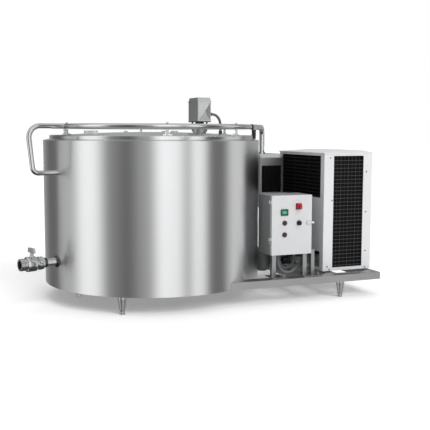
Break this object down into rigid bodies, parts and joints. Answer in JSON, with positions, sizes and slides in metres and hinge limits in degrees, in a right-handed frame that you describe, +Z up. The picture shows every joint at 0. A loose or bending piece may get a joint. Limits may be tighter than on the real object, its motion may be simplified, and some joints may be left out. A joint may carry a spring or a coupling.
{
  "type": "milk cooling tank",
  "caption": "Closed round milk cooling tank on a beam frame, with hinged lids, agitator, ring wash pipe, outlet valve, control box and a louvred condensing unit beside it.",
  "frame": {"origin": "centre of the footprint on the floor, under the adjustable feet", "axes": "+Z up, +X from the tank to the condensing unit along the front beam, -Y is the front"},
  "size_m": [2.4072, 1.4798, 1.362],
  "materials": {
    "blade_metal": "satin",
    "box_paint": "satin",
    "brushed": "satin",
    "button_maroon": "gloss",
    "cabinet_paint": "satin",
    "coil_fins": "satin",
    "compressor_black": "satin",
    "conduit_grey": "matte",
    "foam": "matte",
    "foot_steel": "satin",
    "frame_steel": "satin",
    "gearmotor": "satin",
    "gland_plastic": "matte",
    "hose_grey": "matte",
    "knob_red": "gloss",
    "latch_metal": "polished",
    "mesh_black": "matte",
    "motor_black": "satin",
    "panel_black": "gloss",
    "plate_zinc": "satin",
    "polished": "polished",
    "receiver_grey": "satin",
    "stand_steel": "satin",
    "switch_black": "satin",
    "wash_case_steel": "satin",
    "wash_front_black": "matte"
  },
  "bodies": {
    "root": {"agitator_flange": "polished", "agitator_gearmotor": "gearmotor", "agitator_hood": "brushed", "base_beams": "frame_steel", "box_stand": "stand_steel", "bridge": "brushed", "cabinet_frame": "cabinet_paint", "cabinet_panels": "cabinet_paint", "compressor": "compressor_black", "condenser_coil": "coil_fins", "conduit_glands": "gland_plastic", "control_box": "box_paint", "cross_beams": "frame_steel", "evaporator_plates": "brushed", "fan_motors": "motor_black", "fan_shroud": "mesh_black", "foot_sockets": "frame_steel", "front_grille": "mesh_black", "inner_vessel": "brushed", "insulation_foam": "foam", "liquid_receiver": "receiver_grey", "motor_conduit": "conduit_grey", "mounting_plate": "plate_zinc", "outer_jacket": "brushed", "outlet_pipe": "polished", "outlet_union_nut": "polished", "rim_ring": "polished", "ring_stanchions": "polished", "side_grille": "mesh_black", "spray_heads": "polished", "supply_hose_inner": "hose_grey", "supply_hose_outer": "hose_grey", "valve_body": "polished", "wash_loop": "polished", "wash_ring": "polished", "wash_riser": "polished", "wash_unit_case": "wash_case_steel", "wash_unit_front": "wash_front_black"},
    "front_lid": {"front_lid": "brushed"},
    "rear_lid": {"rear_lid": "brushed"},
    "agitator": {"agitator_shaft": "polished", "agitator_paddle": "polished"},
    "dipstick": {"dipstick": "polished"},
    "valve_spindle": {"valve_disc": "polished", "valve_handle": "polished"},
    "control_box_door": {"control_box_door": "box_paint", "temperature_controller": "panel_black", "switch_collars": "switch_black"},
    "main_switch_knob": {"main_switch_knob": "knob_red"},
    "selector_knob": {"selector_knob": "switch_black"},
    "push_button_upper": {"push_button_upper": "button_maroon"},
    "push_button_lower": {"push_button_lower": "button_maroon"},
    "door_latch": {"door_latch": "latch_metal"},
    "fan_rotor_upper": {"fan_rotor_upper": "blade_metal"},
    "fan_rotor_lower": {"fan_rotor_lower": "blade_metal"},
    "foot_screw_1": {"foot_screw_1": "foot_steel"},
    "foot_screw_2": {"foot_screw_2": "foot_steel"},
    "foot_screw_3": {"foot_screw_3": "foot_steel"},
    "foot_screw_4": {"foot_screw_4": "foot_steel"},
    "foot_screw_5": {"foot_screw_5": "foot_steel"}
  },
  "joints": [
    {"name": "front_lid_hinge", "type": "hinge", "parent": "root", "child": "front_lid", "pos_m": [-0.23836, -0.106, 1.12668], "axis": [-1, 0, 0], "range_deg": [0, 85]},
    {"name": "rear_lid_hinge", "type": "hinge", "parent": "root", "child": "rear_lid", "pos_m": [-0.23836, 0.106, 1.12668], "axis": [1, 0, 0], "range_deg": [0, 85]},
    {"name": "agitator_spin", "type": "hinge", "parent": "root", "child": "agitator", "pos_m": [0.11364, 0, 0.7], "axis": [0, 0, 1], "continuous": true},
    {"name": "dipstick_lift", "type": "slide", "parent": "root", "child": "dipstick", "axis": [0, 0, 1], "range_m": [0, 0.6]},
    {"name": "valve_turn", "type": "hinge", "parent": "root", "child": "valve_spindle", "pos_m": [-1.11407, -0.25111, 0.2885], "axis": [0, 0, 1], "range_deg": [0, 90]},
    {"name": "door_hinge", "type": "hinge", "parent": "root", "child": "control_box_door", "pos_m": [0.40534, -0.5485, 0.5], "axis": [0, 0, -1], "range_deg": [0, 110]},
    {"name": "main_switch_turn", "type": "hinge", "parent": "control_box_door", "child": "main_switch_knob", "pos_m": [0.60864, -0.575, 0.628], "axis": [0, -1, 0], "range_deg": [-90, 0]},
    {"name": "selector_turn", "type": "hinge", "parent": "control_box_door", "child": "selector_knob", "pos_m": [0.61264, -0.575, 0.516], "axis": [0, -1, 0], "range_deg": [-45, 45]},
    {"name": "button_upper_press", "type": "slide", "parent": "control_box_door", "child": "push_button_upper", "axis": [0, 1, 0], "range_m": [0, 0.004], "stiffness_N_per_m": 600, "springref_m": -0.001},
    {"name": "button_lower_press", "type": "slide", "parent": "control_box_door", "child": "push_button_lower", "axis": [0, 1, 0], "range_m": [0, 0.004], "stiffness_N_per_m": 600, "springref_m": -0.001},
    {"name": "latch_turn", "type": "hinge", "parent": "control_box_door", "child": "door_latch", "pos_m": [0.68164, -0.575, 0.516], "axis": [0, -1, 0], "range_deg": [0, 90]},
    {"name": "fan_lower_spin", "type": "hinge", "parent": "root", "child": "fan_rotor_lower", "pos_m": [1.00814, 0.09, 0.375], "axis": [0, 1, 0], "continuous": true},
    {"name": "fan_upper_spin", "type": "hinge", "parent": "root", "child": "fan_rotor_upper", "pos_m": [1.00814, 0.09, 0.765], "axis": [0, 1, 0], "continuous": true},
    {"name": "foot_1_adjust", "type": "slide", "parent": "root", "child": "foot_screw_1", "axis": [0, 0, -1], "range_m": [0, 0.025]},
    {"name": "foot_2_adjust", "type": "slide", "parent": "root", "child": "foot_screw_2", "axis": [0, 0, -1], "range_m": [0, 0.025]},
    {"name": "foot_3_adjust", "type": "slide", "parent": "root", "child": "foot_screw_3", "axis": [0, 0, -1], "range_m": [0, 0.025]},
    {"name": "foot_4_adjust", "type": "slide", "parent": "root", "child": "foot_screw_4", "axis": [0, 0, -1], "range_m": [0, 0.025]},
    {"name": "foot_5_adjust", "type": "slide", "parent": "root", "child": "foot_screw_5", "axis": [0, 0, -1], "range_m": [0, 0.025]}
  ]
}
